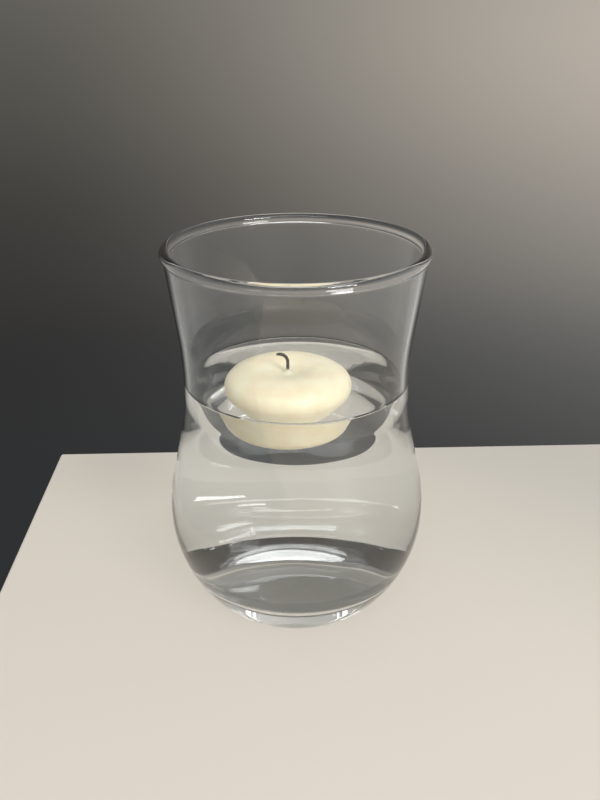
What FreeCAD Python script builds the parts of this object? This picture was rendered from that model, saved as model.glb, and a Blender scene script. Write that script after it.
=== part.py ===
import FreeCAD, Part
import math
import os
import Sketcher
from FreeCAD import Vector

# Floating candle vase: a free-blown style glass with a belly, a waist and a flared rim,
# filled with water to just under the waist, and a round wax candle floating on the water.
# Millimetres. +Z is up, the origin is where the glass's own axis meets the table, and -Y is
# the side that the candle has drifted to.

SIZES = [
    # glass
    ("vase_height", 148.0),
    ("waist_radius", 44.2),
    ("waist_height", 95.5),
    ("belly_swell", 8.5),
    ("belly_height", 37.0),
    ("belly_lower_curve", 55.7),
    ("belly_upper_curve", 73.0),
    ("shoulder_run", 15.4),
    ("flare_curve", 158.0),
    ("flare_angle", 7.4),
    ("wall_thickness", 2.1),
    ("floor_thickness", 10.0),
    ("floor_corner", 18.0),
    ("foot_curve", 1.6),
    ("ring_width", 4.0),
    ("push_up", 0.8),
    ("bead_radius", 1.95),
    ("bead_fillet", 1.5),
    # water
    ("water_level", 93.2),
    ("meniscus_rise", 1.7),
    ("meniscus_sweep", 42.0),
    ("water_gap", 0.3),
    ("pocket_gap", 0.3),
    ("cut_overrun", 5.0),
    # candle
    ("candle_offset_x", 3.2),
    ("candle_offset_y", 10.0),
    ("candle_radius", 24.3),
    ("equator_height", 3.0),
    ("crest_height", 9.9),
    ("crest_radius", 12.7),
    ("shoulder_curve", 5.0),
    ("dish_depth", 2.0),
    ("candle_draft", 15.6),
    ("side_curve", 5.0),
    ("side_taper", 22.0),
    ("candle_foot_curve", 5.5),
    # wick and its tin sustainer
    ("wick_radius", 0.65),
    ("wick_straight", 4.2),
    ("wick_hook_radius", 2.9),
    ("wick_hook_sweep", 118.0),
    ("wick_lean_turn", 12.0),
    ("wick_fit", 0.03),
    ("tab_radius", 6.0),
    ("tab_thickness", 0.3),
    ("collar_radius", 1.5),
    ("collar_height", 3.2),
    ("tab_fit", 0.05),
]

doc = FreeCAD.newDocument("floating_candle_vase")


def make_sheet():
    """The spreadsheet that holds every driving size under its own name."""
    sheet = doc.addObject("Spreadsheet::Sheet", "sizes")
    for row, (name, value) in enumerate(SIZES, start=1):
        sheet.set(f"A{row}", name)
        sheet.set(f"B{row}", str(value))
        sheet.setAlias(f"B{row}", name)
    doc.recompute()
    return sheet


sizes = make_sheet()


def size(name):
    """One driving size as a plain number."""
    return float(sizes.get(name))


def unit(angle):
    """The unit vector at an angle in radians, counted from the sketch's own +X."""
    return Vector(math.cos(angle), math.sin(angle), 0)


def arc(centre, radius, start, end):
    """An arc drawn counter-clockwise from one angle to another, in radians."""
    return Part.ArcOfCircle(Part.Circle(centre, Vector(0, 0, 1), radius), start, end)


# What a constraint can hold of a curve, and the two axes, which count down from none
HOLDS = ("edge", "start", "end", "centre")
START = HOLDS.index("start")
END = HOLDS.index("end")
CENTRE = HOLDS.index("centre")
AXES = ("none", "across", "up")
X_AXIS = -AXES.index("across")
Y_AXIS = -AXES.index("up")
ORIGIN = (X_AXIS, START)
HALF_TURN = math.pi
QUARTER_TURN = math.pi / 2


class Profile:
    """A sketch on one of its body's own planes, with constraints bound to the sheet."""

    def __init__(self, body, name, plane="XZ_Plane"):
        self.sketch = body.newObject("Sketcher::SketchObject", name)
        origin = [f for f in body.Origin.OriginFeatures if f.Role == plane]
        self.sketch.AttachmentSupport = [(origin[0], "")]
        self.sketch.MapMode = "FlatFace"

    def add(self, geometry, construction=False):
        return self.sketch.addGeometry(geometry, construction)

    def line(self, start, end):
        return self.add(Part.LineSegment(start, end))

    def tie(self, kind, *parts):
        """A constraint with no size of its own."""
        return self.sketch.addConstraint(Sketcher.Constraint(kind, *parts))

    def bind(self, name, expression, kind, *parts):
        """A constraint whose size follows an expression on the sheet."""
        index = self.sketch.addConstraint(Sketcher.Constraint(kind, *parts))
        self.sketch.renameConstraint(index, name)
        self.sketch.setExpression(f"Constraints.{name}", expression)

    def place(self, name, point, x_expression, y_expression, x_value, y_value):
        """Fixes a point by its two distances from the sketch's origin."""
        self.bind(f"{name}_x", x_expression, "DistanceX", *ORIGIN, *point, x_value)
        self.bind(f"{name}_y", y_expression, "DistanceY", *ORIGIN, *point, y_value)


def wall_curves(profile, tag, inset, inset_text, top):
    """The glass's side from below the belly up to a height, moved inwards by an inset.

    Returns the chain's pieces from the bottom up. The three radii that bend round a centre
    on the axis side shrink with the inset, and those that bend the other way grow with it.
    """
    waist = Vector(size("waist_radius") - inset, size("waist_height"), 0)
    belly = Vector(waist.x + size("belly_swell"), size("belly_height"), 0)
    lower = size("belly_lower_curve") - inset
    upper = size("belly_upper_curve") - inset
    run = size("shoulder_run")
    rise = waist.y - belly.y
    swell = size("belly_swell")
    both = (swell**2 + rise**2 - run**2) / (2 * swell)
    hollow = both - upper
    flare = size("flare_curve") + inset
    lean = math.radians(size("flare_angle"))

    upper_centre = belly - Vector(upper, 0, 0)
    hollow_centre = waist + Vector(hollow, 0, 0)
    span = hollow_centre - upper_centre
    turn = math.atan2(span.y, span.x) - math.acos(both / span.Length)
    flare_centre = waist + Vector(flare, 0, 0)
    flare_start = flare_centre - unit(-lean) * flare
    reach = (top - flare_start.y) / math.cos(lean)

    low = profile.add(arc(belly - Vector(lower, 0, 0), lower, -QUARTER_TURN / 2, 0))
    high = profile.add(arc(upper_centre, upper, 0, turn))
    straight = profile.line(
        upper_centre + unit(turn) * upper, hollow_centre - unit(turn) * hollow
    )
    neck = profile.add(arc(hollow_centre, hollow, HALF_TURN, HALF_TURN + turn))
    sweep = profile.add(arc(flare_centre, flare, HALF_TURN - lean, HALF_TURN))
    mouth = profile.line(
        flare_start, flare_start + unit(QUARTER_TURN - lean) * reach
    )

    profile.tie("Tangent", low, END, high, START)
    profile.tie("Tangent", high, END, straight, START)
    profile.tie("Tangent", straight, END, neck, END)
    profile.tie("Tangent", neck, START, sweep, END)
    profile.tie("Tangent", sweep, START, mouth, START)
    profile.tie("Horizontal", low, CENTRE, low, END)
    profile.tie("Horizontal", neck, CENTRE, neck, START)
    profile.place(
        f"{tag}_belly", (low, END),
        f"sizes.waist_radius + sizes.belly_swell - {inset_text}", "sizes.belly_height",
        belly.x, belly.y,
    )
    profile.place(
        f"{tag}_waist", (neck, START),
        f"sizes.waist_radius - {inset_text}", "sizes.waist_height",
        waist.x, waist.y,
    )
    profile.bind(
        f"{tag}_lower", f"sizes.belly_lower_curve - {inset_text}", "Radius", low, lower
    )
    profile.bind(
        f"{tag}_upper", f"sizes.belly_upper_curve - {inset_text}", "Radius", high, upper
    )
    profile.bind(f"{tag}_run", "sizes.shoulder_run", "Distance", straight, run)
    profile.bind(
        f"{tag}_flare", f"sizes.flare_curve + {inset_text}", "Radius", sweep, flare
    )
    profile.bind(
        f"{tag}_lean", "(90 - sizes.flare_angle) * 1 deg", "Angle",
        X_AXIS, START, mouth, START, QUARTER_TURN - lean,
    )
    return low, mouth


def foot_corner(belly_radius, belly_centre_height, curve, corner, floor):
    """Centre and upper angle of the arc that rounds a floor into the side above it."""
    centre_x = belly_radius - curve
    drop = belly_centre_height - floor - corner
    reach = math.sqrt((curve - corner) ** 2 - drop**2)
    centre = Vector(centre_x + reach, floor + corner, 0)
    return centre, math.atan2(-drop, reach)


def cavity_floor(profile, tag, low, inset, inset_text, depth_text):
    """The flat inside floor and the corner arc that joins it to the side."""
    deeper = inset - size("wall_thickness")
    corner = size("floor_corner") - deeper
    floor = size("floor_thickness") + deeper
    belly = size("waist_radius") + size("belly_swell") - inset
    centre, upto = foot_corner(
        belly, size("belly_height"), size("belly_lower_curve") - inset, corner, floor
    )
    flat = profile.line(Vector(0, floor, 0), Vector(centre.x, floor, 0))
    bend = profile.add(arc(centre, corner, -QUARTER_TURN, upto))
    profile.tie("Tangent", flat, END, bend, START)
    profile.tie("Tangent", bend, END, low, START)
    profile.tie("Horizontal", flat)
    profile.tie("PointOnObject", flat, START, Y_AXIS)
    profile.bind(
        f"{tag}_floor", f"sizes.floor_thickness + {depth_text}",
        "DistanceY", *ORIGIN, flat, START, floor,
    )
    profile.bind(
        f"{tag}_corner", f"sizes.floor_corner - {depth_text}", "Radius", bend, corner
    )
    return flat


def revolve(body, profile, name, kind="PartDesign::Revolution"):
    """Turns a sketch fully round its own vertical axis."""
    doc.recompute()
    feature = body.newObject(kind, name)
    feature.Profile = profile.sketch
    feature.ReferenceAxis = (profile.sketch, ["V_Axis"])
    feature.Angle = 360.0
    body.Tip = feature
    doc.recompute()
    return feature


def make_body(name):
    body = doc.addObject("PartDesign::Body", name)
    body.Label = name
    return body


def glass_vase():
    """One piece of glass: flared mouth with a fire-polished bead, waist, belly, thick floor."""
    body = make_body("glass_vase")
    profile = Profile(body, "glass_section")
    wall = size("wall_thickness")
    under_bead = size("vase_height") - 2 * size("bead_radius")
    inner_low, inner_mouth = wall_curves(profile, "inner", wall, "sizes.wall_thickness", under_bead)
    outer_low, outer_mouth = wall_curves(profile, "outer", 0.0, "0", under_bead)
    inner_floor = cavity_floor(profile, "inner", inner_low, wall, "sizes.wall_thickness", "0")

    # the rim: a round bead centred on the wall, blended into it on both sides
    lean = math.radians(size("flare_angle"))
    bead, blend = size("bead_radius"), size("bead_fillet")
    along, across = unit(QUARTER_TURN - lean), unit(-lean)
    flare = size("flare_curve")
    flare_start = Vector(size("waist_radius") + flare, size("waist_height"), 0)
    flare_start = flare_start - across * flare - across * (wall / 2)
    middle_y = size("vase_height") - bead
    middle = flare_start + along * ((middle_y - flare_start.y) / along.y)
    beside = wall / 2 + blend
    below = math.sqrt((bead + blend) ** 2 - beside**2)
    opening = math.atan2(below, beside)
    outer_centre = middle - along * below + across * beside
    inner_centre = middle - along * below - across * beside
    ring = profile.add(arc(middle, bead, -lean - opening, HALF_TURN - lean + opening))
    outer_blend = profile.add(
        arc(outer_centre, blend, HALF_TURN - lean - opening, HALF_TURN - lean)
    )
    inner_blend = profile.add(arc(inner_centre, blend, -lean, opening - lean))
    profile.tie("Tangent", outer_mouth, END, outer_blend, END)
    profile.tie("Tangent", outer_blend, START, ring, START)
    profile.tie("Tangent", inner_mouth, END, inner_blend, START)
    profile.tie("Tangent", inner_blend, END, ring, END)
    profile.bind("bead", "sizes.bead_radius", "Radius", ring, bead)
    profile.bind("outer_blend", "sizes.bead_fillet", "Radius", outer_blend, blend)
    profile.bind("inner_blend", "sizes.bead_fillet", "Radius", inner_blend, blend)
    profile.bind(
        "bead_height", "sizes.vase_height - sizes.bead_radius",
        "DistanceY", *ORIGIN, ring, CENTRE, middle.y,
    )
    profile.bind(
        "bead_centring", "sizes.wall_thickness / 2", "Distance", ring, CENTRE, outer_mouth, wall / 2
    )

    # the foot: a rounded edge, a flat resting ring and a shallow push-up inside it
    foot = size("foot_curve")
    belly = size("waist_radius") + size("belly_swell")
    centre, upto = foot_corner(
        belly, size("belly_height"), size("belly_lower_curve"), foot, 0.0
    )
    edge = profile.add(arc(centre, foot, -QUARTER_TURN, upto))
    ring_inside = centre.x - size("ring_width")
    rest = profile.line(Vector(ring_inside, 0, 0), Vector(centre.x, 0, 0))
    push = size("push_up")
    dome = (ring_inside**2 + push**2) / (2 * push)
    dome_centre = Vector(0, push - dome, 0)
    side_angle = math.atan2(dome - push, ring_inside)
    hollow = profile.add(arc(dome_centre, dome, side_angle, QUARTER_TURN))
    axis = profile.line(Vector(0, push, 0), Vector(0, size("floor_thickness"), 0))
    profile.tie("Tangent", edge, END, outer_low, START)
    profile.tie("Tangent", rest, END, edge, START)
    profile.tie("Coincident", hollow, START, rest, START)
    profile.tie("Coincident", axis, START, hollow, END)
    profile.tie("Coincident", axis, END, inner_floor, START)
    profile.tie("PointOnObject", rest, START, X_AXIS)
    profile.tie("PointOnObject", rest, END, X_AXIS)
    profile.tie("PointOnObject", hollow, CENTRE, Y_AXIS)
    profile.tie("PointOnObject", hollow, END, Y_AXIS)
    profile.bind("foot", "sizes.foot_curve", "Radius", edge, foot)
    profile.bind("ring", "sizes.ring_width", "Distance", rest, size("ring_width"))
    profile.bind("push", "sizes.push_up", "DistanceY", *ORIGIN, hollow, END, push)
    revolve(body, profile, "glass_turned")
    return body


def cavity_radius(height, inset):
    """How far the side at an inset stands from the axis at a height above the belly."""
    waist = size("waist_radius") - inset
    belly = waist + size("belly_swell")
    rise = size("waist_height") - size("belly_height")
    swell = size("belly_swell")
    run = size("shoulder_run")
    upper = size("belly_upper_curve") - inset
    both = (swell**2 + rise**2 - run**2) / (2 * swell)
    hollow = both - upper
    turn = math.atan2(rise, both - swell) - math.acos(both / math.hypot(both - swell, rise))
    high_end = size("belly_height") + upper * math.sin(turn)
    neck_end = size("waist_height") - hollow * math.sin(turn)
    lean = math.radians(size("flare_angle"))
    flare = size("flare_curve") + inset
    flare_end = size("waist_height") + flare * math.sin(lean)
    if height < high_end:
        return belly - upper + math.sqrt(upper**2 - (height - size("belly_height")) ** 2)
    if height < neck_end:
        edge = belly - upper + upper * math.cos(turn)
        return edge - (height - high_end) * math.tan(turn)
    if height < size("waist_height"):
        return waist + hollow - math.sqrt(hollow**2 - (size("waist_height") - height) ** 2)
    if height < flare_end:
        return waist + flare - math.sqrt(flare**2 - (height - size("waist_height")) ** 2)
    edge = waist + flare - flare * math.cos(lean)
    return edge + (height - flare_end) * math.tan(lean)


def water():
    """The water: it fills the glass to its level, climbs the wall a little, holds the candle."""
    body = make_body("water")
    inset = size("wall_thickness") + size("water_gap")
    inset_text = "(sizes.wall_thickness + sizes.water_gap)"
    plug = Profile(body, "water_section")
    top = size("vase_height")
    low, mouth = wall_curves(plug, "side", inset, inset_text, top)
    floor = cavity_floor(plug, "side", low, inset, inset_text, "sizes.water_gap")
    lid = plug.line(Vector(0, top, 0), Vector(cavity_radius(top, inset), top, 0))
    bottom = size("floor_thickness") + size("water_gap")
    axis = plug.line(Vector(0, bottom, 0), Vector(0, top, 0))
    plug.tie("Coincident", lid, END, mouth, END)
    plug.tie("Coincident", axis, START, floor, START)
    plug.tie("Coincident", axis, END, lid, START)
    plug.tie("Horizontal", lid)
    plug.tie("PointOnObject", lid, START, Y_AXIS)
    plug.bind("lid", "sizes.vase_height", "DistanceY", *ORIGIN, lid, START, top)
    revolve(body, plug, "water_turned")

    # the air above the water, with the ring of water that climbs the glass left standing
    level, rise = size("water_level"), size("meniscus_rise")
    sweep = math.radians(size("meniscus_sweep"))
    curve = rise / (1 - math.cos(sweep))
    contact = cavity_radius(level + rise, inset)
    start = contact - curve * math.sin(sweep)
    beyond = contact + size("belly_swell") + size("cut_overrun")
    above = top + size("cut_overrun")
    air = Profile(body, "air_section")
    flat = air.line(Vector(0, level, 0), Vector(start, level, 0))
    climb = air.add(
        arc(Vector(start, level + curve, 0), curve, -QUARTER_TURN, sweep - QUARTER_TURN)
    )
    over = air.line(Vector(contact, level + rise, 0), Vector(beyond, level + rise, 0))
    side = air.line(Vector(beyond, level + rise, 0), Vector(beyond, above, 0))
    roof = air.line(Vector(beyond, above, 0), Vector(0, above, 0))
    back = air.line(Vector(0, above, 0), Vector(0, level, 0))
    air.tie("Tangent", flat, END, climb, START)
    air.tie("Coincident", climb, END, over, START)
    air.tie("Coincident", over, END, side, START)
    air.tie("Coincident", side, END, roof, START)
    air.tie("Coincident", roof, END, back, START)
    air.tie("Coincident", back, END, flat, START)
    air.tie("Horizontal", flat)
    air.tie("Horizontal", over)
    air.tie("Vertical", side)
    air.tie("Horizontal", roof)
    air.tie("PointOnObject", back, START, Y_AXIS)
    air.tie("PointOnObject", back, END, Y_AXIS)
    air.bind("level", "sizes.water_level", "DistanceY", *ORIGIN, flat, START, level)
    air.bind("rise", "sizes.meniscus_rise", "DistanceY", flat, END, climb, END, rise)
    air.bind("sweep", "sizes.meniscus_sweep * 1 deg", "Angle", climb, sweep)
    air.tie("DistanceX", *ORIGIN, climb, END, contact)
    air.bind(
        "roof", "sizes.vase_height + sizes.cut_overrun", "DistanceY", *ORIGIN, roof, END, above
    )
    air.bind(
        "beyond", "sizes.belly_swell + sizes.cut_overrun", "Distance", over, beyond - contact
    )
    revolve(body, air, "water_level_cut", "PartDesign::Groove")

    # the pocket that the candle presses into the water
    pocket = Profile(body, "pocket_section")
    pocket.sketch.setExpression("AttachmentOffset.Base.x", "-sizes.candle_offset_x")
    pocket.sketch.setExpression("AttachmentOffset.Base.y", "sizes.water_level")
    pocket.sketch.setExpression("AttachmentOffset.Base.z", "sizes.candle_offset_y")
    gap = size("pocket_gap")
    sole, shoulder = candle_side(pocket, "pocket", gap, "sizes.pocket_gap")
    rim = size("candle_radius") + gap
    lift = size("crest_height") + size("cut_overrun")
    up = pocket.line(Vector(rim, size("equator_height"), 0), Vector(rim, lift, 0))
    across = pocket.line(Vector(rim, lift, 0), Vector(0, lift, 0))
    down = pocket.line(Vector(0, lift, 0), Vector(0, -size("candle_draft") - gap, 0))
    pocket.tie("Tangent", shoulder, END, up, START)
    pocket.tie("Coincident", up, END, across, START)
    pocket.tie("Coincident", across, END, down, START)
    pocket.tie("Coincident", down, END, sole, START)
    pocket.tie("Horizontal", across)
    pocket.tie("PointOnObject", down, START, Y_AXIS)
    pocket.tie("PointOnObject", sole, START, Y_AXIS)
    pocket.bind(
        "lift", "sizes.crest_height + sizes.cut_overrun",
        "DistanceY", *ORIGIN, across, END, lift,
    )
    revolve(body, pocket, "candle_pocket", "PartDesign::Groove")
    return body


def candle_side(profile, tag, outset, outset_text):
    """The candle's flat sole, rounded foot, tapered side and the curve up to its equator."""
    rim = size("candle_radius") + outset
    side = size("side_curve") + outset
    foot = size("candle_foot_curve") + outset
    taper = math.radians(size("side_taper"))
    draft = size("candle_draft") + outset
    side_centre = Vector(rim - side, size("equator_height"), 0)
    side_start = side_centre + unit(-taper) * side
    foot_y = foot - draft
    run = (side_start.y - (foot_y - foot * math.sin(taper))) / math.cos(taper)
    foot_top = side_start - unit(QUARTER_TURN - taper) * run
    foot_centre = foot_top - unit(-taper) * foot
    sole = profile.line(Vector(0, -draft, 0), Vector(foot_centre.x, -draft, 0))
    bend = profile.add(arc(foot_centre, foot, -QUARTER_TURN, -taper))
    flank = profile.line(foot_top, side_start)
    shoulder = profile.add(arc(side_centre, side, -taper, 0))
    profile.tie("Tangent", sole, END, bend, START)
    profile.tie("Tangent", bend, END, flank, START)
    profile.tie("Tangent", flank, END, shoulder, START)
    profile.tie("Horizontal", sole)
    profile.tie("Horizontal", shoulder, CENTRE, shoulder, END)
    profile.place(
        f"{tag}_equator", (shoulder, END),
        f"sizes.candle_radius + {outset_text}", "sizes.equator_height",
        rim, size("equator_height"),
    )
    profile.bind(f"{tag}_side", f"sizes.side_curve + {outset_text}", "Radius", shoulder, side)
    profile.bind(
        f"{tag}_foot", f"sizes.candle_foot_curve + {outset_text}", "Radius", bend, foot
    )
    profile.bind(
        f"{tag}_draft", f"sizes.candle_draft + {outset_text}",
        "DistanceY", sole, END, *ORIGIN, draft,
    )
    profile.bind(
        f"{tag}_taper", "(90 - sizes.side_taper) * 1 deg", "Angle",
        X_AXIS, START, flank, START, QUARTER_TURN - taper,
    )
    return sole, shoulder


def place_on_water(body):
    """Puts a body that is drawn about the candle's own axis where the candle floats."""
    body.setExpression("Placement.Base.x", "-sizes.candle_offset_x")
    body.setExpression("Placement.Base.y", "-sizes.candle_offset_y")
    body.setExpression("Placement.Base.z", "sizes.water_level")


def candle_wax():
    """The moulded wax: tapered below the water, domed above it, dished round the wick."""
    body = make_body("candle_wax")
    profile = Profile(body, "wax_section")
    sole, shoulder = candle_side(profile, "wax", 0.0, "0")
    rim, equator = size("candle_radius"), size("equator_height")
    crest, crest_y = size("crest_radius"), size("crest_height")
    edge = size("shoulder_curve")
    width, height = rim - crest, crest_y - equator
    crown = (width**2 - 2 * width * edge + height**2) / (2 * (height - edge))
    edge_centre = Vector(rim - edge, equator, 0)
    crown_centre = Vector(crest, crest_y - crown, 0)
    join = edge_centre - crown_centre
    join_angle = math.atan2(join.y, join.x)
    dish_y = crest_y - size("dish_depth")
    hollow_drop = dish_y - crown_centre.y
    dish = (crest**2 + hollow_drop**2 - crown**2) / (2 * (crown - hollow_drop))
    dish_centre = Vector(0, dish_y + dish, 0)
    into = dish_centre - crown_centre
    into_angle = math.atan2(into.y, into.x)
    rounded = profile.add(arc(edge_centre, edge, 0, join_angle))
    crown_arc = profile.add(arc(crown_centre, crown, join_angle, into_angle))
    dish_arc = profile.add(
        arc(dish_centre, dish, -QUARTER_TURN, into_angle - HALF_TURN)
    )
    axis = profile.line(Vector(0, dish_y, 0), Vector(0, -size("candle_draft"), 0))
    profile.tie("Tangent", shoulder, END, rounded, START)
    profile.tie("Tangent", rounded, END, crown_arc, START)
    profile.tie("Tangent", crown_arc, END, dish_arc, END)
    profile.tie("Coincident", dish_arc, START, axis, START)
    profile.tie("Coincident", axis, END, sole, START)
    profile.tie("PointOnObject", axis, START, Y_AXIS)
    profile.tie("PointOnObject", axis, END, Y_AXIS)
    profile.tie("PointOnObject", dish_arc, CENTRE, Y_AXIS)
    profile.bind("edge", "sizes.shoulder_curve", "Radius", rounded, edge)
    profile.bind(
        "crest_x", "sizes.crest_radius", "DistanceX", *ORIGIN, crown_arc, CENTRE, crest
    )
    crest_point = profile.add(Part.Point(Vector(crest, crest_y, 0)), True)
    profile.tie("PointOnObject", crest_point, START, crown_arc)
    profile.tie("Vertical", crest_point, START, crown_arc, CENTRE)
    profile.bind(
        "crest_y", "sizes.crest_height", "DistanceY", *ORIGIN, crest_point, START, crest_y
    )
    profile.bind(
        "dish", "sizes.crest_height - sizes.dish_depth",
        "DistanceY", *ORIGIN, axis, START, dish_y,
    )
    revolve(body, profile, "wax_turned")

    # the bore that the wick was pushed up, and the seat of the tin tab under it
    bore = Profile(body, "bore_section")
    fit = size("wick_fit")
    tab_fit = size("tab_fit")
    draft, below = size("candle_draft"), size("cut_overrun")
    wick = size("wick_radius") + fit
    collar = size("collar_radius") + tab_fit
    tab = size("tab_radius") + tab_fit
    tab_top = size("tab_thickness") - draft
    collar_top = size("collar_height") - draft
    corners = [
        Vector(0, -draft - below, 0),
        Vector(tab, -draft - below, 0),
        Vector(tab, tab_top, 0),
        Vector(collar, tab_top, 0),
        Vector(collar, collar_top, 0),
        Vector(wick, collar_top, 0),
        Vector(wick, crest_y, 0),
        Vector(0, crest_y, 0),
    ]
    edges = []
    for index, corner in enumerate(corners):
        edges.append(bore.line(corner, corners[(index + 1) % len(corners)]))
    for index, side in enumerate(edges):
        bore.tie("Coincident", side, END, edges[(index + 1) % len(edges)], START)
        if side is not edges[-1]:
            bore.tie("Vertical" if index % 2 else "Horizontal", side)
    bore.tie("PointOnObject", edges[0], START, Y_AXIS)
    bore.tie("PointOnObject", edges[-1], START, Y_AXIS)
    bore.bind(
        "below", "sizes.candle_draft + sizes.cut_overrun",
        "DistanceY", edges[0], START, *ORIGIN, draft + below,
    )
    bore.bind(
        "tab", "sizes.tab_radius + sizes.tab_fit", "DistanceX", *ORIGIN, edges[1], START, tab
    )
    bore.bind(
        "tab_top", "sizes.candle_draft - sizes.tab_thickness",
        "DistanceY", edges[2], START, *ORIGIN, -tab_top,
    )
    bore.bind(
        "collar", "sizes.collar_radius + sizes.tab_fit",
        "DistanceX", *ORIGIN, edges[3], START, collar,
    )
    bore.bind(
        "collar_top", "sizes.candle_draft - sizes.collar_height",
        "DistanceY", edges[4], START, *ORIGIN, -collar_top,
    )
    bore.bind(
        "wick", "sizes.wick_radius + sizes.wick_fit",
        "DistanceX", *ORIGIN, edges[5], END, wick,
    )
    bore.bind("top", "sizes.crest_height", "DistanceY", *ORIGIN, edges[6], END, crest_y)
    revolve(body, bore, "wick_bore", "PartDesign::Groove")
    place_on_water(body)
    return body


def wick():
    """The burnt cotton wick: straight up through the wax, then hooked over to the left."""
    body = make_body("wick")
    path = Profile(body, "wick_line")
    draft = size("candle_draft")
    dish_y = size("crest_height") - size("dish_depth")
    bend_y = dish_y + size("wick_straight")
    hook, sweep = size("wick_hook_radius"), math.radians(size("wick_hook_sweep"))
    rise = path.line(Vector(0, -draft, 0), Vector(0, bend_y, 0))
    curl = path.add(arc(Vector(-hook, bend_y, 0), hook, 0, sweep))
    path.tie("Tangent", rise, END, curl, START)
    path.tie("PointOnObject", rise, START, Y_AXIS)
    path.tie("PointOnObject", rise, END, Y_AXIS)
    path.bind("foot", "sizes.candle_draft", "DistanceY", rise, START, *ORIGIN, draft)
    path.bind(
        "bend", "sizes.crest_height - sizes.dish_depth + sizes.wick_straight",
        "DistanceY", *ORIGIN, rise, END, bend_y,
    )
    path.bind("hook", "sizes.wick_hook_radius", "Radius", curl, hook)
    path.bind("sweep", "sizes.wick_hook_sweep * 1 deg", "Angle", curl, sweep)

    section = Profile(body, "wick_section", "XY_Plane")
    section.sketch.setExpression("AttachmentOffset.Base.z", "-sizes.candle_draft")
    round_edge = section.add(
        Part.Circle(Vector(0, 0, 0), Vector(0, 0, 1), size("wick_radius"))
    )
    section.tie("Coincident", round_edge, CENTRE, *ORIGIN)
    section.bind(
        "wick_radius", "sizes.wick_radius", "Radius", round_edge, size("wick_radius")
    )
    doc.recompute()
    braid = body.newObject("PartDesign::AdditivePipe", "wick_braid")
    braid.Profile = section.sketch
    braid.Spine = (path.sketch, ["Edge1", "Edge2"])
    body.Tip = braid
    place_on_water(body)
    body.Placement.Rotation = FreeCAD.Rotation(
        Vector(0, 0, 1), -size("wick_lean_turn")
    )
    return body


def wick_sustainer():
    """The tin tab under the wax, with the drawn collar that grips the wick."""
    body = make_body("wick_sustainer")
    profile = Profile(body, "tab_section")
    draft = size("candle_draft")
    bore = size("wick_radius") + size("wick_fit")
    tab, collar = size("tab_radius"), size("collar_radius")
    low, tab_top = -draft, size("tab_thickness") - draft
    high = size("collar_height") - draft
    corners = [
        Vector(bore, low, 0),
        Vector(tab, low, 0),
        Vector(tab, tab_top, 0),
        Vector(collar, tab_top, 0),
        Vector(collar, high, 0),
        Vector(bore, high, 0),
    ]
    edges = []
    for index, corner in enumerate(corners):
        edges.append(profile.line(corner, corners[(index + 1) % len(corners)]))
    for index, side in enumerate(edges):
        profile.tie("Coincident", side, END, edges[(index + 1) % len(edges)], START)
        profile.tie("Vertical" if index % 2 else "Horizontal", side)
    profile.bind(
        "bore", "sizes.wick_radius + sizes.wick_fit",
        "DistanceX", *ORIGIN, edges[0], START, bore,
    )
    profile.bind(
        "sole", "sizes.candle_draft", "DistanceY", edges[0], START, *ORIGIN, draft
    )
    profile.bind("tab", "sizes.tab_radius", "DistanceX", *ORIGIN, edges[1], START, tab)
    profile.bind(
        "plate", "sizes.tab_thickness", "Distance", edges[1], size("tab_thickness")
    )
    profile.bind(
        "collar", "sizes.collar_radius", "DistanceX", *ORIGIN, edges[3], START, collar
    )
    profile.bind(
        "collar_top", "sizes.collar_height",
        "DistanceY", edges[0], START, edges[4], START, size("collar_height"),
    )
    revolve(body, profile, "tab_turned")
    place_on_water(body)
    return body


def check_all(bodies):
    """Stops if any object of the document failed or any sub-part has no sound solid."""
    for thing in doc.Objects:
        bad = [word for word in thing.State if word in ("Invalid", "Error")]
        if bad:
            raise RuntimeError(f"{thing.Name} is {bad}")
    for thing in doc.Objects:
        if thing.TypeId == "Sketcher::SketchObject":
            status = thing.solve()
            print(thing.Name, "solved" if status == 0 else status, thing.FullyConstrained)
    for body in bodies:
        shape = body.Shape
        if shape.isNull() or not shape.isValid() or not shape.Solids:
            raise RuntimeError(f"{body.Label} has no sound solid")
        print(body.Label, "volume", round(shape.Volume, 1), "solids", len(shape.Solids))


bodies = [glass_vase(), water(), candle_wax(), wick(), wick_sustainer()]
doc.recompute()
check_all(bodies)
os.makedirs("parts", exist_ok=True)
for body in bodies:
    body.Shape.exportStep(f"parts/{body.Label}.step")
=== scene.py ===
import math

import bpy
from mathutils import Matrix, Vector


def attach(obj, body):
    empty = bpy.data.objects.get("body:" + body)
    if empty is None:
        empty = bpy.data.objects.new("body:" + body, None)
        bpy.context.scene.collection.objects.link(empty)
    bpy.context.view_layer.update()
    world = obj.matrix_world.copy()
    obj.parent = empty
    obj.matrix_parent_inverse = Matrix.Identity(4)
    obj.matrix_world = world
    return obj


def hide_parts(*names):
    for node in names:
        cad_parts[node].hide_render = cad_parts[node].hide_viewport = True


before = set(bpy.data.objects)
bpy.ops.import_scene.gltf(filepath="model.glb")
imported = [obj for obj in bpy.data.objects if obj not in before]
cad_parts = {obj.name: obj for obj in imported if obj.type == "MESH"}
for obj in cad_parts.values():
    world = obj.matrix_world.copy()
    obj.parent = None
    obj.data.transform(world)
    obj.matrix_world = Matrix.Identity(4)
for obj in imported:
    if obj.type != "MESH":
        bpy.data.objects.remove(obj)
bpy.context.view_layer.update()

# The table: a plain top of pale satin laminate, with softly rounded edges. Its far left corner
# lies behind the glass, to its left. Towards the far right its colour greys: painted shade, for the
# light that falls off across the table.
table_corner, table_turn = (-0.1319, 0.1055), math.radians(1.9)
table_long, table_deep, table_thick, table_drop = 2.4, 1.7, 0.03, 0.0001
edge_radius, edge_steps, crease = 0.0012, 3, math.radians(40)
lit_near_tone, painted_far_shade = (225, 216, 203), (205, 199, 188)
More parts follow.
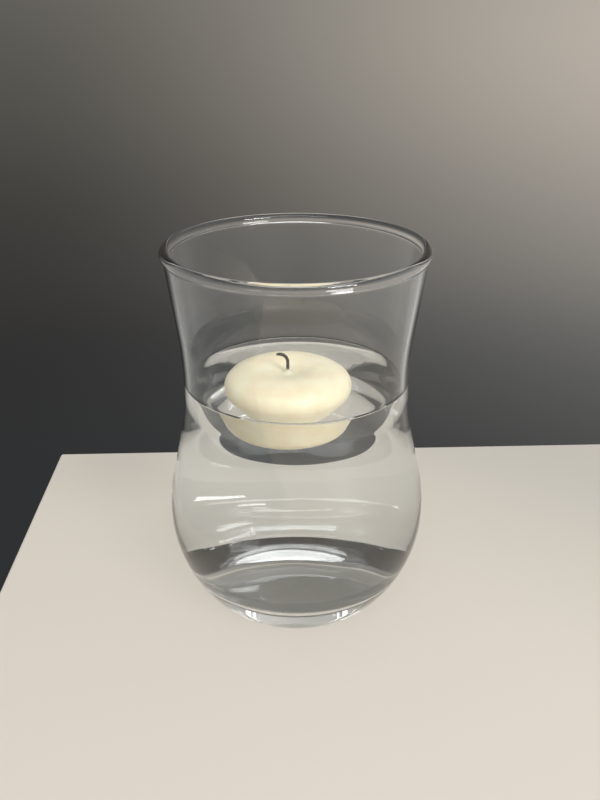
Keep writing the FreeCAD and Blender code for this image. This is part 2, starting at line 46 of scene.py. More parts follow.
far_right, shade_falloff_start, shade_falloff_end = (1, 1, 0), 0.02, 0.27
colour_sockets, mixed_colour = (6, 7), 2


def select_none():
    """Each piece is picked in code, so nothing starts out selected."""
    if bpy.context.mode != "OBJECT":
        bpy.ops.object.mode_set(mode="OBJECT")
    bpy.ops.object.select_all(action="DESELECT")


def paint(red, green, blue):
    """A paint card's colour (0 to 255) as a shader wants it, by the numbers of the sRGB curve."""
    parts = []
    for shade in (red, green, blue):
        share = shade / 255
        parts.append(share / 12.92 if share <= 0.04045 else ((share + 0.055) / 1.055) ** 2.4)
    return (*parts, 1.0)


def new_finish(name):
    """A new material, its node tree and the sockets of its surface."""
    finish = bpy.data.materials.new(name)
    finish.use_nodes = True
    return finish, finish.node_tree, finish.node_tree.nodes["Principled BSDF"].inputs


def give(sockets, settings):
    """Sets sockets, each by its own name."""
    for name, value in settings.items():
        sockets[name].default_value = value


def add_node(tree, kind, settings):
    """A new node with its sockets set."""
    node = tree.nodes.new("ShaderNode" + kind)
    give(node.inputs, settings)
    return node


def eased(tree, value, start, end):
    """A share that eases from 0 to 1 while a value goes from start to end."""
    step = add_node(tree, "MapRange", {"From Min": start, "From Max": end})
    step.interpolation_type = "SMOOTHSTEP"
    tree.links.new(value, step.inputs["Value"])
    return step.outputs["Result"]


def mix_colours(tree, share, first, second):
    """Goes by a share from a first colour to a second, each a plain one or a node's."""
    mix = tree.nodes.new("ShaderNodeMix")
    mix.data_type = "RGBA"
    tree.links.new(share, mix.inputs["Factor"])
    for socket, colour in zip(colour_sockets, (first, second)):
        if isinstance(colour, tuple):
            mix.inputs[socket].default_value = colour
        else:
            tree.links.new(colour, mix.inputs[socket])
    return mix.outputs[mixed_colour]


select_none()
bpy.ops.mesh.primitive_cube_add(
    size=1, location=(table_long / 2, -table_deep / 2, -table_drop - table_thick / 2)
)
table = bpy.context.object
table.name = "table_top"
table.scale = (table_long, table_deep, table_thick)
bpy.ops.object.transform_apply(location=True, rotation=False, scale=True)
table.rotation_euler = (0, 0, table_turn)
table.location = (*table_corner, 0)
bpy.ops.object.transform_apply(location=True, rotation=True, scale=False)
edge_rounding = table.modifiers.new("edge_rounding", "BEVEL")
edge_rounding.width = edge_radius
edge_rounding.segments = edge_steps
bpy.ops.object.modifier_apply(modifier="edge_rounding")
bpy.ops.object.shade_smooth_by_angle(angle=crease)

table_paint, tree, surface = new_finish("table_paint")
spot = tree.nodes.new("ShaderNodeTexCoord")
how_far_right = tree.nodes.new("ShaderNodeVectorMath")
how_far_right.operation = "DOT_PRODUCT"
how_far_right.inputs[1].default_value = far_right
tree.links.new(spot.outputs["Object"], how_far_right.inputs[0])
# Painted shade: the colour goes from the lit near tone to a darker one towards the far right, in place
# of the light falling off across the table
painted_falloff = eased(tree, how_far_right.outputs["Value"], shade_falloff_start, shade_falloff_end)
table_tone_with_painted_shade = mix_colours(tree, painted_falloff, paint(*lit_near_tone), paint(*painted_far_shade))
tree.links.new(table_tone_with_painted_shade, surface["Base Color"])
give(surface, {"Roughness": 0.55, "Specular IOR Level": 0.25})
table.data.materials.append(table_paint)

# The room: a dark satin wall far behind the table, lighter towards the top and the right, and the
# pale side of the room, which shows in the glass and the water. Both are colours of the world,
# painted by the way that a ray goes, and plain daylight takes their place for what they light.
lowest_rise, highest_rise = -0.6, 0.9
left_wall_shades = (
    (-0.48, (48, 49, 50)),
    (-0.32, (54, 53, 52)),
    (-0.16, (72, 71, 67)),
    (0.00, (96, 94, 89)),
    (0.30, (112, 110, 106)),
    (0.80, (112, 111, 107)),
)
right_wall_shades = (
    (-0.48, (76, 76, 76)),
    (-0.32, (120, 118, 114)),
    (-0.16, (172, 165, 156)),
    (0.00, (192, 184, 173)),
    (0.30, (146, 142, 137)),
    (0.80, (128, 127, 123)),
)
right_start, right_end = -0.35, 0.55
side_shades = ((0.1, paint(172, 172, 168)), (0.9, paint(207, 205, 200)))
wall_start, wall_end, widening = 0.65, 0.87, 0.35
bent_widths, straight_width = ((-0.49, 1), (-0.44, 0), (0.30, 0), (0.60, 1)), 0.55
value_sockets, mixed_value, spare_place = (2, 3), 0, 0.5


def at_rise(rise):
    """Where a ray's rise lies between the lowest and the highest that are painted."""
    return (rise - lowest_rise) / (highest_rise - lowest_rise)


def shaded(tree, value, stops, between="LINEAR"):
    """Colours along a value, from stops of a place (0 to 1) and a colour."""
    ramp = tree.nodes.new("ShaderNodeValToRGB")
    ramp.color_ramp.interpolation = between
    marks = ramp.color_ramp.elements
    while len(marks) < len(stops):
        marks.new(spare_place)
    for mark, (place, colour) in zip(marks, stops):
        mark.position = place
        mark.color = colour
    tree.links.new(value, ramp.inputs["Fac"])
    return ramp.outputs["Color"]


def wall_side(tree, height, shades):
    """One side of the wall, from below the table to over the glass."""
    stops = [(at_rise(rise), paint(*shade)) for rise, shade in shades]
    return shaded(tree, height, stops, "CARDINAL")


def share_on_top(tree, value, share, base):
    """A share of a value, on top of a base."""
    total = tree.nodes.new("ShaderNodeMath")
    total.operation = "MULTIPLY_ADD"
    total.inputs[1].default_value = share
    tree.links.new(value, total.inputs[0])
    tree.links.new(base, total.inputs[2])
    return total.outputs[0]


def larger(tree, one, other):
    """The larger of two values."""
    pick = tree.nodes.new("ShaderNodeMath")
    pick.operation = "MAXIMUM"
    tree.links.new(one, pick.inputs[0])
    tree.links.new(other, pick.inputs[1])
    return pick.outputs[0]


room = bpy.data.worlds.new("room")
bpy.context.scene.world = room
room.use_nodes = True
tree = room.node_tree
tree.nodes.clear()
way = tree.nodes.new("ShaderNodeTexCoord")
way_parts = tree.nodes.new("ShaderNodeSeparateXYZ")
tree.links.new(way.outputs["Generated"], way_parts.inputs[0])
painted_rise = add_node(tree, "MapRange", {"From Min": lowest_rise, "From Max": highest_rise})
tree.links.new(way_parts.outputs["Z"], painted_rise.inputs["Value"])
how_high = painted_rise.outputs["Result"]
to_the_right = eased(tree, way_parts.outputs["X"], right_start, right_end)
left_wall = wall_side(tree, how_high, left_wall_shades)
right_wall = wall_side(tree, how_high, right_wall_shades)
wall_colour = mix_colours(tree, to_the_right, left_wall, right_wall)

# Seen straight, the wall has one width. In what glass and water bend, its width goes by the rise
ray = tree.nodes.new("ShaderNodeLightPath")
width_stops = [(at_rise(rise), (width, width, width, 1)) for rise, width in bent_widths]
wall_width = tree.nodes.new("ShaderNodeMix")
tree.links.new(ray.outputs["Is Camera Ray"], wall_width.inputs["Factor"])
bent_width = shaded(tree, how_high, width_stops)
tree.links.new(bent_width, wall_width.inputs[value_sockets[0]])
wall_width.inputs[value_sockets[1]].default_value = straight_width
widened = wall_width.outputs[mixed_value]
wall_reach = share_on_top(tree, widened, widening, way_parts.outputs["Y"])
on_the_wall = eased(tree, wall_reach, wall_start, wall_end)
side_colour = shaded(tree, to_the_right, side_shades)
room_light = tree.nodes.new("ShaderNodeBackground")
tree.links.new(mix_colours(tree, on_the_wall, side_colour, wall_colour), room_light.inputs["Color"])
day_light = add_node(tree, "Background", {"Color": (0.96, 0.98, 1.0, 1.0), "Strength": 0.5})
seen_or_mirrored = larger(tree, ray.outputs["Is Camera Ray"], ray.outputs["Is Glossy Ray"])
shows = larger(tree, seen_or_mirrored, ray.outputs["Is Transmission Ray"])
lit_or_seen = tree.nodes.new("ShaderNodeMixShader")
tree.links.new(shows, lit_or_seen.inputs["Fac"])
tree.links.new(day_light.outputs[0], lit_or_seen.inputs[1])
tree.links.new(room_light.outputs[0], lit_or_seen.inputs[2])
room_out = tree.nodes.new("ShaderNodeOutputWorld")
tree.links.new(lit_or_seen.outputs[0], room_out.inputs["Surface"])

# The light and the eye: daylight from a window at the front right, over the right shoulder, and
# the soft light of the room from high up behind the eye. The eye is about a third of a metre from
# the glass and looks down on it.
eye_back, eye_height, eye_pitch, eye_roll = 0.30075, 0.229, 25.76, -0.148
film_width, picture_height, focal_dots, shift_dots, nearest = 36, 800, 830, 3.7, 0.01


def soft_lamp(name, place, aim, width, height, power):
    """An oblong lamp that faces what it is aimed at."""
    lamp = bpy.data.lights.new(name, "AREA")
    lamp.shape = "RECTANGLE"
    lamp.size = width
    lamp.size_y = height
    lamp.energy = power
    stand = bpy.data.objects.new(name, lamp)
    bpy.context.scene.collection.objects.link(stand)
    stand.location = place
    stand.rotation_euler = (Vector(aim) - Vector(place)).to_track_quat("-Z", "Y").to_euler()


soft_lamp("window", place=(1.53, -1.8, 1.56), aim=(0, 0, 0.08), width=1.08, height=0.45, power=43)
soft_lamp("ceiling", place=(0.2, -1.3, 2.35), aim=(0, 0, 0.05), width=2.6, height=1.0, power=27)

eye = bpy.data.objects.new("eye", bpy.data.cameras.new("eye"))
bpy.context.scene.collection.objects.link(eye)
eye.data.sensor_width = film_width
eye.data.lens = focal_dots * film_width / picture_height
eye.data.shift_x = shift_dots / picture_height
eye.data.clip_start = nearest
eye.location = (0, -eye_back, eye_height)
eye.rotation_mode = "ZYX"
eye.rotation_euler = (math.radians(90 - eye_pitch), 0, math.radians(eye_roll))
bpy.context.scene.camera = eye
bpy.context.scene.view_settings.view_transform = "Standard"

# The glass: one piece of clear soda-lime glass, blown in a turning mould, with a thick floor, a
# shallow push-up, a round belly, a waist and a flared mouth. The cut rim was melted back in a
# flame, which left the round bead, and the resting ring was ground flat.
vase_height = 0.148
waist_radius, waist_height = 0.0442, 0.0955
belly_swell, belly_height = 0.0085, 0.037
belly_lower, belly_upper, shoulder_run = 0.0557, 0.073, 0.0154
flare_curve, flare_lean = 0.158, math.radians(7.4)
wall, floor_thickness, floor_corner = 0.0021, 0.0100, 0.018
foot_curve, ring_width, push_up = 0.0016, 0.004, 0.0008
bead, bead_fillet = 0.00195, 0.0015
point_spacing, corner_spacing, fillet_spacing, bead_spacing = 0.0011, 0.0006, 0.0002, 0.00028
fewest_steps, fillet_margin, seed_size, weld = 4, 0.0004, 0.001, 2e-6
vessel_steps = 240


def bend(centre, radius, start, end, spacing=point_spacing):
    """Points along an arc of an outline, both ends included, by angles in radians."""
    count = max(fewest_steps, math.ceil(abs(end - start) * radius / spacing))
    return [
        (
            centre[0] + radius * math.cos(start + (end - start) * step / count),
            centre[1] + radius * math.sin(start + (end - start) * step / count),
        )
        for step in range(count + 1)
    ]


def run(start, end, spacing=point_spacing):
    """Points along a straight stretch of an outline, both ends included."""
    length = math.hypot(end[0] - start[0], end[1] - start[1])
    count = max(1, math.ceil(length / spacing))
    return [
        (
            start[0] + (end[0] - start[0]) * step / count,
            start[1] + (end[1] - start[1]) * step / count,
        )
        for step in range(count + 1)
    ]


def glass_side(inset, top):
    """The side moved inwards: its lower curve's middle and radius, and its points above that."""
    waist = waist_radius - inset
    belly = waist + belly_swell
    lower, upper, flare = belly_lower - inset, belly_upper - inset, flare_curve + inset
    rise = waist_height - belly_height
    both_curves = (belly_swell**2 + rise**2 - shoulder_run**2) / (2 * belly_swell)
    neck_curve = both_curves - upper
    sideways = both_curves - belly_swell
    turn = math.atan2(rise, sideways) - math.acos(both_curves / math.hypot(sideways, rise))
    shoulder = bend((belly - upper, belly_height), upper, 0, turn)
    neck = bend((waist + neck_curve, waist_height), neck_curve, math.pi + turn, math.pi)
    side = shoulder + run(shoulder[-1], neck[0])[1:-1] + neck
    leaned = bend((waist + flare, waist_height), flare, math.pi, math.pi - flare_lean)
    end = leaned[-1]
    lip = (end[0] + (top - end[1]) * math.tan(flare_lean), top)
    if top >= end[1]:
        side += leaned[1:] + run(end, lip)[1:]
    else:
        side += [point for point in leaned[1:] if point[1] < top]
    return (belly - lower, belly_height), lower, side


def rounded_floor(centre, curve, corner, floor):
    """The arc that rounds a floor into the side above it: its middle, points and last angle."""
    drop = centre[1] - floor - corner
    reach = math.sqrt((curve - corner) ** 2 - drop**2)
    middle = (centre[0] + reach, floor + corner)
    upto = math.atan2(-drop, reach)
    return middle, bend(middle, corner, -math.pi / 2, upto, corner_spacing), upto


def turned(name, outline, steps):
    """Draws an outline point by point and spins it round the Z axis into a closed piece."""
    select_none()
    bpy.ops.mesh.primitive_plane_add(size=seed_size, location=(0, 0, 0))
    piece = bpy.context.object
    piece.name = name
    bpy.ops.object.mode_set(mode="EDIT")
    bpy.ops.mesh.merge(type="CENTER")
    bpy.ops.transform.translate(value=(outline[0][0], 0, outline[0][1]))
    for (here_x, here_z), (next_x, next_z) in zip(outline, outline[1:]):
        bpy.ops.mesh.extrude_region_move(
            TRANSFORM_OT_translate={"value": (next_x - here_x, 0, next_z - here_z)}
        )
    bpy.ops.mesh.select_all(action="SELECT")
    bpy.ops.mesh.spin(
        steps=steps, angle=2 * math.pi, center=(0, 0, 0), axis=(0, 0, 1), use_auto_merge=True
    )
    bpy.ops.mesh.select_all(action="SELECT")
    bpy.ops.mesh.remove_doubles(threshold=weld)
    bpy.ops.mesh.normals_make_consistent(inside=False)
    bpy.ops.object.mode_set(mode="OBJECT")
    bpy.ops.object.shade_smooth()
    return piece


outer_middle, outer_curve, outer_side = glass_side(0, vase_height)
inner_middle, inner_curve, inner_side = glass_side(wall, vase_height)
foot_middle, foot_edge, foot_turn = rounded_floor(outer_middle, outer_curve, foot_curve, 0)
corner_middle, corner_edge, corner_turn = rounded_floor(
    inner_middle, inner_curve, floor_corner, floor_thickness
)
ring_inside = foot_middle[0] - ring_width
dome = (ring_inside**2 + push_up**2) / (2 * push_up)
dome_turn = math.atan2(dome - push_up, ring_inside)
lean_out = (math.cos(flare_lean), -math.sin(flare_lean))
lean_up = (math.sin(flare_lean), math.cos(flare_lean))
bead_z = vase_height - bead
lip_x = outer_side[-1][0] - (vase_height - bead_z) * math.tan(flare_lean)
bead_middle = (lip_x - wall / 2 / lean_out[0], bead_z)
beside = wall / 2 + bead_fillet
below = math.sqrt((bead + bead_fillet) ** 2 - beside**2)
opening = math.atan2(below, beside)
outer_fillet = (
    bead_middle[0] - lean_up[0] * below + lean_out[0] * beside,
    bead_middle[1] - lean_up[1] * below + lean_out[1] * beside,
)
inner_fillet = (
    bead_middle[0] - lean_up[0] * below - lean_out[0] * beside,
    bead_middle[1] - lean_up[1] * below - lean_out[1] * beside,
)
outer_blend = bend(
    outer_fillet, bead_fillet, math.pi - flare_lean, math.pi - flare_lean - opening, fillet_spacing
)
rim = bend(bead_middle, bead, -flare_lean - opening, math.pi - flare_lean + opening, bead_spacing)
inner_blend = bend(inner_fillet, bead_fillet, opening - flare_lean, -flare_lean, fillet_spacing)
outside = [point for point in outer_side if point[1] < outer_blend[0][1] - fillet_margin]
inside = [point for point in inner_side if point[1] < inner_blend[-1][1] - fillet_margin]
glass_outline = (
    bend((0, push_up - dome), dome, math.pi / 2, dome_turn)
    + run((ring_inside, 0), (foot_middle[0], 0))[1:-1]
    + foot_edge
    + bend(outer_middle, outer_curve, foot_turn, 0)[1:-1]
    + outside
    + outer_blend
    + rim[1:-1]
    + inner_blend
    + inside[::-1]
    + bend(inner_middle, inner_curve, 0, corner_turn)[1:-1]
    + corner_edge[::-1]
    + run((corner_middle[0], floor_thickness), (0, floor_thickness))[1:]
)
glass = turned("vase_glass", glass_outline, vessel_steps)

# The unevenness that glass, wax, tin and cotton have, each by a scale and a stretch of its own
mottle = bpy.data.node_groups.new("mottle", "ShaderNodeTree")
for socket, kind in (("Stretch", "Vector"), ("Scale", "Float"), ("Detail", "Float")):
    mottle.interface.new_socket(socket, in_out="INPUT", socket_type="NodeSocket" + kind)
mottle.interface.new_socket("Amount", in_out="OUTPUT", socket_type="NodeSocketFloat")
given = mottle.nodes.new("NodeGroupInput")
spot = mottle.nodes.new("ShaderNodeTexCoord")
stretched = mottle.nodes.new("ShaderNodeMapping")
mottle.links.new(spot.outputs["Object"], stretched.inputs["Vector"])
mottle.links.new(given.outputs["Stretch"], stretched.inputs["Scale"])
clouds = mottle.nodes.new("ShaderNodeTexNoise")
mottle.links.new(stretched.outputs["Vector"], clouds.inputs["Vector"])
mottle.links.new(given.outputs["Scale"], clouds.inputs["Scale"])
mottle.links.new(given.outputs["Detail"], clouds.inputs["Detail"])
result = mottle.nodes.new("NodeGroupOutput")
mottle.links.new(clouds.outputs["Fac"], result.inputs["Amount"])


def mottled(tree, scale, detail, stretch=(1, 1, 1)):
    """The mottle as one finish has it."""
    placed = tree.nodes.new("ShaderNodeGroup")
    placed.node_tree = mottle
    give(placed.inputs, {"Stretch": stretch, "Scale": scale, "Detail": detail})
    return placed.outputs["Amount"]


def raised(tree, height, strength, distance):
    """Lets a finish stand out where a height is large."""
    relief = add_node(tree, "Bump", {"Strength": strength, "Distance": distance})
    tree.links.new(height, relief.inputs["Height"])
    tree.links.new(relief.outputs["Normal"], tree.nodes["Principled BSDF"].inputs["Normal"])


def clear_finish(name, tint, index, shade):
    """A clear, polished finish. Daylight passes it, a little dimmed, to what is in or behind it."""
    finish, tree, surface = new_finish(name)
    give(surface, {"Base Color": tint, "Roughness": 0.0, "IOR": index, "Transmission Weight": 1.0})
    ray = tree.nodes.new("ShaderNodeLightPath")
    lights = larger(tree, ray.outputs["Is Shadow Ray"], ray.outputs["Is Diffuse Ray"])
    open_way = add_node(tree, "BsdfTransparent", {"Color": (shade, shade, shade, 1)})
    bent_or_open = tree.nodes.new("ShaderNodeMixShader")
    tree.links.new(lights, bent_or_open.inputs["Fac"])
    tree.links.new(tree.nodes["Principled BSDF"].outputs["BSDF"], bent_or_open.inputs[1])
    tree.links.new(open_way.outputs[0], bent_or_open.inputs[2])
    tree.links.new(bent_or_open.outputs[0], tree.nodes["Material Output"].inputs["Surface"])
    return finish


clear_glass = clear_finish("clear_glass", tint=(0.985, 0.99, 0.988, 1), index=1.5, shade=0.95)
mould_waves = mottled(clear_glass.node_tree, scale=38, detail=1.0, stretch=(1, 1, 0.35))
raised(clear_glass.node_tree, mould_waves, strength=0.25, distance=0.001)
glass.data.materials.append(clear_glass)
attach(glass, "vase")
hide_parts("glass_vase")

# The water: tap water, poured in to just under the waist. It wets the glass and climbs it by not
# quite two millimetres all round, and the candle only rests in it.
water_level, climb, climb_turn = 0.0932, 0.0017, math.radians(42)
wetting, climb_spacing = 0.00003, 0.0003

climb_curve = climb / (1 - math.cos(climb_turn))
wet_middle, wet_curve, wet_side = glass_side(wall - wetting, water_level + climb)
wet_floor = floor_thickness - wetting
wet_corner, wet_edge, wet_turn = rounded_floor(
    wet_middle, wet_curve, floor_corner + wetting, wet_floor
)
climb_start = wet_side[-1][0] - climb_curve * math.sin(climb_turn)
climb_middle = (climb_start, water_level + climb_curve)
water_outline = (
    run((0, wet_floor), (wet_corner[0], wet_floor))[:-1]
    + wet_edge
    + bend(wet_middle, wet_curve, wet_turn, 0)[1:-1]
    + wet_side
    + bend(climb_middle, climb_curve, climb_turn - math.pi / 2, -math.pi / 2, climb_spacing)[1:]
    + run((climb_start, water_level), (0, water_level))[1:]
)
water = turned("vase_water", water_outline, vessel_steps)

clear_water = clear_finish("clear_water", tint=(0.965, 0.98, 0.978, 1), index=1.333, shade=0.99)
water.data.materials.append(clear_water)
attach(water, "water_body")
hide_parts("water")

# The candle's wax: ivory paraffin, pressed in a mould, tapered under the water and softly domed
# above it, with a shallow dish where it has burnt a little. It is bored for the wick, its
# underside has a seat for the wick's tab, and wax has crept up the root of the wick.
candle_x, candle_y = -0.0032, -0.0100
candle_radius, equator, draft = 0.0243, 0.0030, 0.0156
side_curve, side_taper, sole_curve = 0.005, math.radians(22), 0.0055
shoulder_curve, crest_radius, crest, dish_depth = 0.005, 0.0127, 0.0099, 0.002
cord_radius, bore_room, hole_room = 0.00063, 0.00003, 0.00009
tab_radius, tab_thickness, collar_radius, collar_height = 0.006, 0.0003, 0.0015, 0.0032
seat_room, seat_edge = 0.00005, 0.0002
creep_foot, creep_top, creep_round, creep_drop = 0.0021, 0.0012, 0.00004, 0.0001
creep = ((0.0017, 0.0001), (0.0013, 0.0003), (0.00098, 0.00062), (0.0008, 0.00098))
sole_spacing, crown_spacing, side_spacing, candle_steps = 0.0005, 0.0006, 0.0007, 192
wax_tones = ((0.35, paint(241, 228, 194)), (0.65, paint(247, 238, 208)))

wick_bore = cord_radius + bore_room
tab_seat, collar_seat = tab_radius + seat_room, collar_radius + seat_room
side_middle = (candle_radius - side_curve, equator)
side_start = (
    side_middle[0] + side_curve * math.cos(side_taper),
    side_middle[1] - side_curve * math.sin(side_taper),
)
sole_z = sole_curve - draft
sole_run = (side_start[1] - (sole_z - sole_curve * math.sin(side_taper))) / math.cos(side_taper)
sole_end = (
    side_start[0] - sole_run * math.sin(side_taper),
    side_start[1] - sole_run * math.cos(side_taper),
)
sole_middle = (sole_end[0] - sole_curve * math.cos(side_taper), sole_z)
shoulder_middle = (candle_radius - shoulder_curve, equator)
width, rise = candle_radius - crest_radius, crest - equator
crown = (width**2 - 2 * width * shoulder_curve + rise**2) / (2 * (rise - shoulder_curve))
crown_middle = (crest_radius, crest - crown)
crown_turn = math.atan2(equator - crown_middle[1], shoulder_middle[0] - crest_radius)
dish_z = crest - dish_depth
drop = dish_z - crown_middle[1]
dish = (crest_radius**2 + drop**2 - crown**2) / (2 * (crown - drop))
dish_turn = math.atan2(dish_z + dish - crown_middle[1], -crest_radius)
dish_points = bend((0, dish_z + dish), dish, dish_turn - math.pi, -math.pi / 2, crown_spacing)
wax_outline = (
    [(wick_bore, collar_height - draft), (collar_seat, collar_height - draft)]
    + [(collar_seat, tab_thickness - draft), (tab_seat, tab_thickness - draft), (tab_seat, -draft)]
    + run((tab_seat + seat_edge, -draft), (sole_middle[0], -draft))[:-1]
    + bend(sole_middle, sole_curve, -math.pi / 2, -side_taper, sole_spacing)
    + run(sole_end, side_start)[1:-1]
    + bend(side_middle, side_curve, -side_taper, 0, side_spacing)
    + bend(shoulder_middle, shoulder_curve, 0, crown_turn, sole_spacing)[1:-1]
    + bend(crown_middle, crown, crown_turn, dish_turn, crown_spacing)
    + [point for point in dish_points if point[0] > creep_foot][1:]
    + [(radius, dish_z + up) for radius, up in creep]
    + [(wick_bore + creep_round, dish_z + creep_top), (wick_bore, dish_z + creep_top - creep_drop)]
    + [(wick_bore, collar_height - draft)]
)
wax = turned("candle_wax_body", wax_outline, candle_steps)


def set_afloat(zero_height):
    """Moves the piece in hand to where the candle floats."""
    bpy.ops.transform.translate(value=(candle_x, candle_y, zero_height))
    bpy.ops.object.transform_apply(location=True, rotation=False, scale=False)


set_afloat(water_level)

ivory_wax, tree, surface = new_finish("ivory_wax")
wax_colour = shaded(tree, mottled(tree, scale=160, detail=3), wax_tones)
tree.links.new(wax_colour, surface["Base Color"])
give(surface, {"Roughness": 0.42, "IOR": 1.44, "Subsurface Weight": 0.6})
give(surface, {"Subsurface Radius": (1.0, 0.72, 0.42), "Subsurface Scale": 0.0035})
raised(tree, mottled(tree, scale=900, detail=2), strength=0.12, distance=0.0004)
wax.data.materials.append(ivory_wax)
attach(wax, "candle")
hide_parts("candle_wax")

# The wick's sustainer: a tinned steel tab, stamped in one piece with its collar, which is crimped
# on the wick in four places. It lies flush in the seat under the wax and keeps the wick upright.
tab_edge, stamped_ring, ring_rise, ring_half, ring_dent = 0.00012, 0.0037, 0.00011, 0.0004, 0.00002
ring_back, collar_foot, collar_round, collar_chamfer = 0.0005, 0.0001, 0.00012, 0.0003
rings_from, collar_spacing, tab_spacing, tab_edge_spacing = 0.0009, 0.0005, 0.0008, 0.00008
crimp_height, crimp_half, crimp_squeeze, crimps, crimp_share = 0.0019, 0.0006, 0.9, 4, 0.9
skin, tab_steps, tab_crease = 0.0002, 64, math.radians(35)
tin_colour, tin_smooth, tin_rough = paint(196, 196, 192), 0.22, 0.42

wick_hole = cord_radius + hole_room
tab_rim = tab_radius - tab_edge
tab_outline = (
    run((wick_hole, 0), (stamped_ring - ring_half, 0), tab_spacing)
    + [(stamped_ring, ring_rise), (stamped_ring + ring_half, 0)]
    + run((stamped_ring + 2 * ring_half, 0), (tab_rim, 0), tab_spacing)
    + bend((tab_rim, tab_edge), tab_edge, -math.pi / 2, 0, tab_edge_spacing)[1:]
    + bend((tab_rim, tab_thickness - tab_edge), tab_edge, 0, math.pi / 2, tab_edge_spacing)
    + [(stamped_ring + ring_back, tab_thickness), (stamped_ring, tab_thickness - ring_dent)]
    + [(collar_radius + collar_foot, tab_thickness), (collar_radius, tab_thickness + collar_round)]
    + run((collar_radius, rings_from), (collar_radius, collar_height - collar_chamfer), collar_spacing)
    + [(collar_radius - collar_round, collar_height), (wick_hole, collar_height), (wick_hole, 0)]
)
tab = turned("wick_tab", tab_outline, tab_steps)


def choose(piece, wanted):
    """Selects in edit mode the points of a piece that are wanted."""
    bpy.ops.object.mode_set(mode="EDIT")
    bpy.ops.mesh.select_mode(type="VERT")
    bpy.ops.mesh.select_all(action="DESELECT")
    bpy.ops.object.mode_set(mode="OBJECT")
    for vertex in piece.data.vertices:
        vertex.select = wanted(vertex.co)
    bpy.ops.object.mode_set(mode="EDIT")


def in_a_crimp(point):
    """Points of the collar's skin, near the crimps' height, in one of the four places."""
    on_the_skin = math.hypot(point.x, point.y) > collar_radius - skin
    level = abs(point.z - crimp_height) < crimp_half
    bearing = math.atan2(point.y, point.x)
    return on_the_skin and level and abs(math.cos(crimps / 2 * bearing)) > crimp_share


choose(tab, in_a_crimp)
bpy.ops.transform.resize(value=(crimp_squeeze, crimp_squeeze, 1))
bpy.ops.object.mode_set(mode="OBJECT")
set_afloat(water_level - draft)
bpy.ops.object.shade_smooth_by_angle(angle=tab_crease)

tinplate, tree, surface = new_finish("tinplate")
give(surface, {"Base Color": tin_colour, "Metallic": 1.0})
rolled = mottled(tree, scale=420, detail=3, stretch=(1, 14, 1))
tin_shine = add_node(tree, "MapRange", {"To Min": tin_smooth, "To Max": tin_rough})
tree.links.new(rolled, tin_shine.inputs["Value"])
tree.links.new(tin_shine.outputs["Result"], surface["Roughness"])
tab.data.materials.append(tinplate)
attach(tab, "candle")
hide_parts("wick_sustainer")

# The wick: three strands of cotton laid into a cord and waxed. It stands in the collar, and over
# the wax it is burnt to black char that has curled over and thinned to a crumbling tip.
wick_straight, hook_radius = 0.0042, 0.0029
hook_turn, hook_lean = math.radians(118), math.radians(12)
strands, columns, cord_cuts, lay = 3, 24, 150, 0.0042
grooves = ((0.97, 0.45), (0.93, 0.3), (0.9, 0.1))
burnt_tip, tip_thin, thin_steps = 0.0011, 0.62, 4
stem_spacing, hook_spacing = 0.002, 0.0003
burnt_low, burnt_high, ragged = 0.0015, 0.0024, 0.0012
waxed_tone = paint(238, 226, 196)
char_tones = ((0.4, paint(34, 31, 28)), (0.72, paint(92, 84, 74)))

stem = draft + dish_z + wick_straight
cord_length = stem + hook_radius * hook_turn
select_none()
bpy.ops.mesh.primitive_cylinder_add(
    vertices=columns, radius=cord_radius, depth=cord_length, location=(0, 0, cord_length / 2)
)
cord = bpy.context.object
cord.name = "wick_cord"
bpy.ops.object.transform_apply(location=True, rotation=False, scale=False)
bpy.ops.object.mode_set(mode="EDIT")
bpy.ops.mesh.select_mode(type="EDGE")
bpy.ops.mesh.select_all(action="DESELECT")
bpy.ops.object.mode_set(mode="OBJECT")
for edge in cord.data.edges:
    low, high = (cord.data.vertices[index].co.z for index in edge.vertices)
    edge.select = abs(high - low) > cord_length / 2
bpy.ops.object.mode_set(mode="EDIT")
bpy.ops.mesh.subdivide(number_cuts=cord_cuts)


def off_groove(point):
    """The angle between a point and the nearest groove between two strands."""
    bearing = math.atan2(point.y, point.x) * strands
    return abs(math.remainder(bearing, 2 * math.pi)) / strands


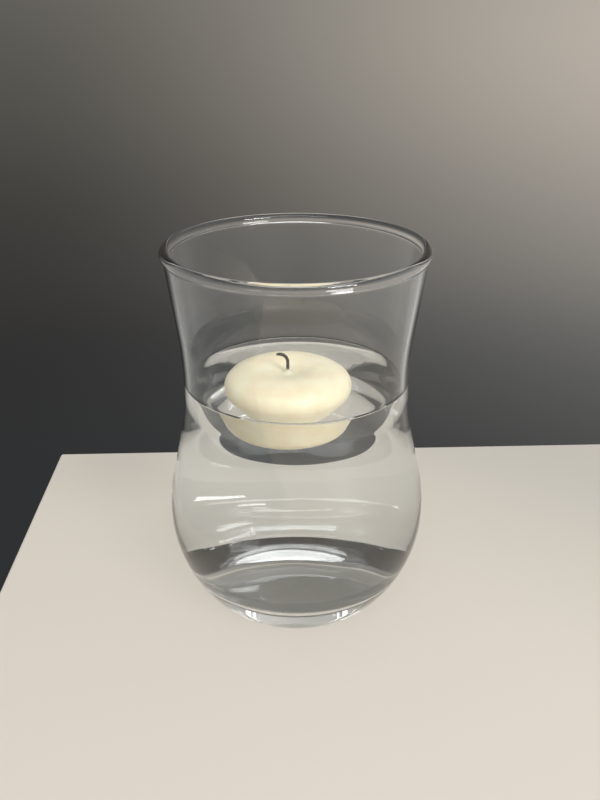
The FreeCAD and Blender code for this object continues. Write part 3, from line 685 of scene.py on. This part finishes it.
for squeeze, spread in grooves:
    choose(cord, lambda point: off_groove(point) < spread)
    bpy.ops.transform.resize(value=(squeeze, squeeze, 1), center_override=(0, 0, cord_length / 2))
thinner = tip_thin ** (1 / thin_steps)
for thinned in range(thin_steps):
    thin_from = cord_length - burnt_tip * (1 - thinned / thin_steps)
    choose(cord, lambda point: point.z > thin_from)
    bpy.ops.transform.resize(value=(thinner, thinner, 1), center_override=(0, 0, cord_length))
bpy.ops.object.mode_set(mode="OBJECT")
twist = cord.modifiers.new("lay_of_the_strands", "SIMPLE_DEFORM")
twist.deform_method = "TWIST"
twist.deform_axis = "Z"
twist.angle = 2 * math.pi * cord_length / lay
bpy.ops.object.modifier_apply(modifier=twist.name)

hook = bend((-hook_radius, stem), hook_radius, 0, hook_turn, hook_spacing)
route_points = run((0, 0), (0, stem), stem_spacing) + hook[1:]
route = bpy.data.curves.new("wick_route", "CURVE")
route.dimensions = "3D"
path = route.splines.new("POLY")
path.points.add(len(route_points) - 1)
for point, (aside, up) in zip(path.points, route_points):
    point.co = (aside * math.cos(hook_lean), -aside * math.sin(hook_lean), up, 1)
route_object = bpy.data.objects.new("wick_route", route)
bpy.context.scene.collection.objects.link(route_object)
follow = cord.modifiers.new("along_the_route", "CURVE")
follow.object = route_object
follow.deform_axis = "POS_Z"
bpy.ops.object.modifier_apply(modifier=follow.name)
bpy.data.objects.remove(route_object)
set_afloat(water_level - draft)
bpy.ops.object.shade_smooth()

cotton_wick, tree, surface = new_finish("cotton_wick")
spot = tree.nodes.new("ShaderNodeTexCoord")
spot_parts = tree.nodes.new("ShaderNodeSeparateXYZ")
tree.links.new(spot.outputs["Object"], spot_parts.inputs[0])
fray = mottled(tree, scale=1400, detail=3)
burnt_edge = share_on_top(tree, fray, ragged, spot_parts.outputs["Z"])
dish_height = water_level + dish_z
burnt = add_node(
    tree, "MapRange", {"From Min": dish_height + burnt_low, "From Max": dish_height + burnt_high}
)
tree.links.new(burnt_edge, burnt.inputs["Value"])
char = shaded(tree, fray, char_tones)
wick_tone = mix_colours(tree, burnt.outputs["Result"], waxed_tone, char)
tree.links.new(wick_tone, surface["Base Color"])
give(surface, {"Roughness": 0.9, "Specular IOR Level": 0.2})
raised(tree, fray, strength=0.7, distance=0.0002)
cord.data.materials.append(cotton_wick)
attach(cord, "candle")
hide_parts("wick")

bpy.context.view_layer.update()
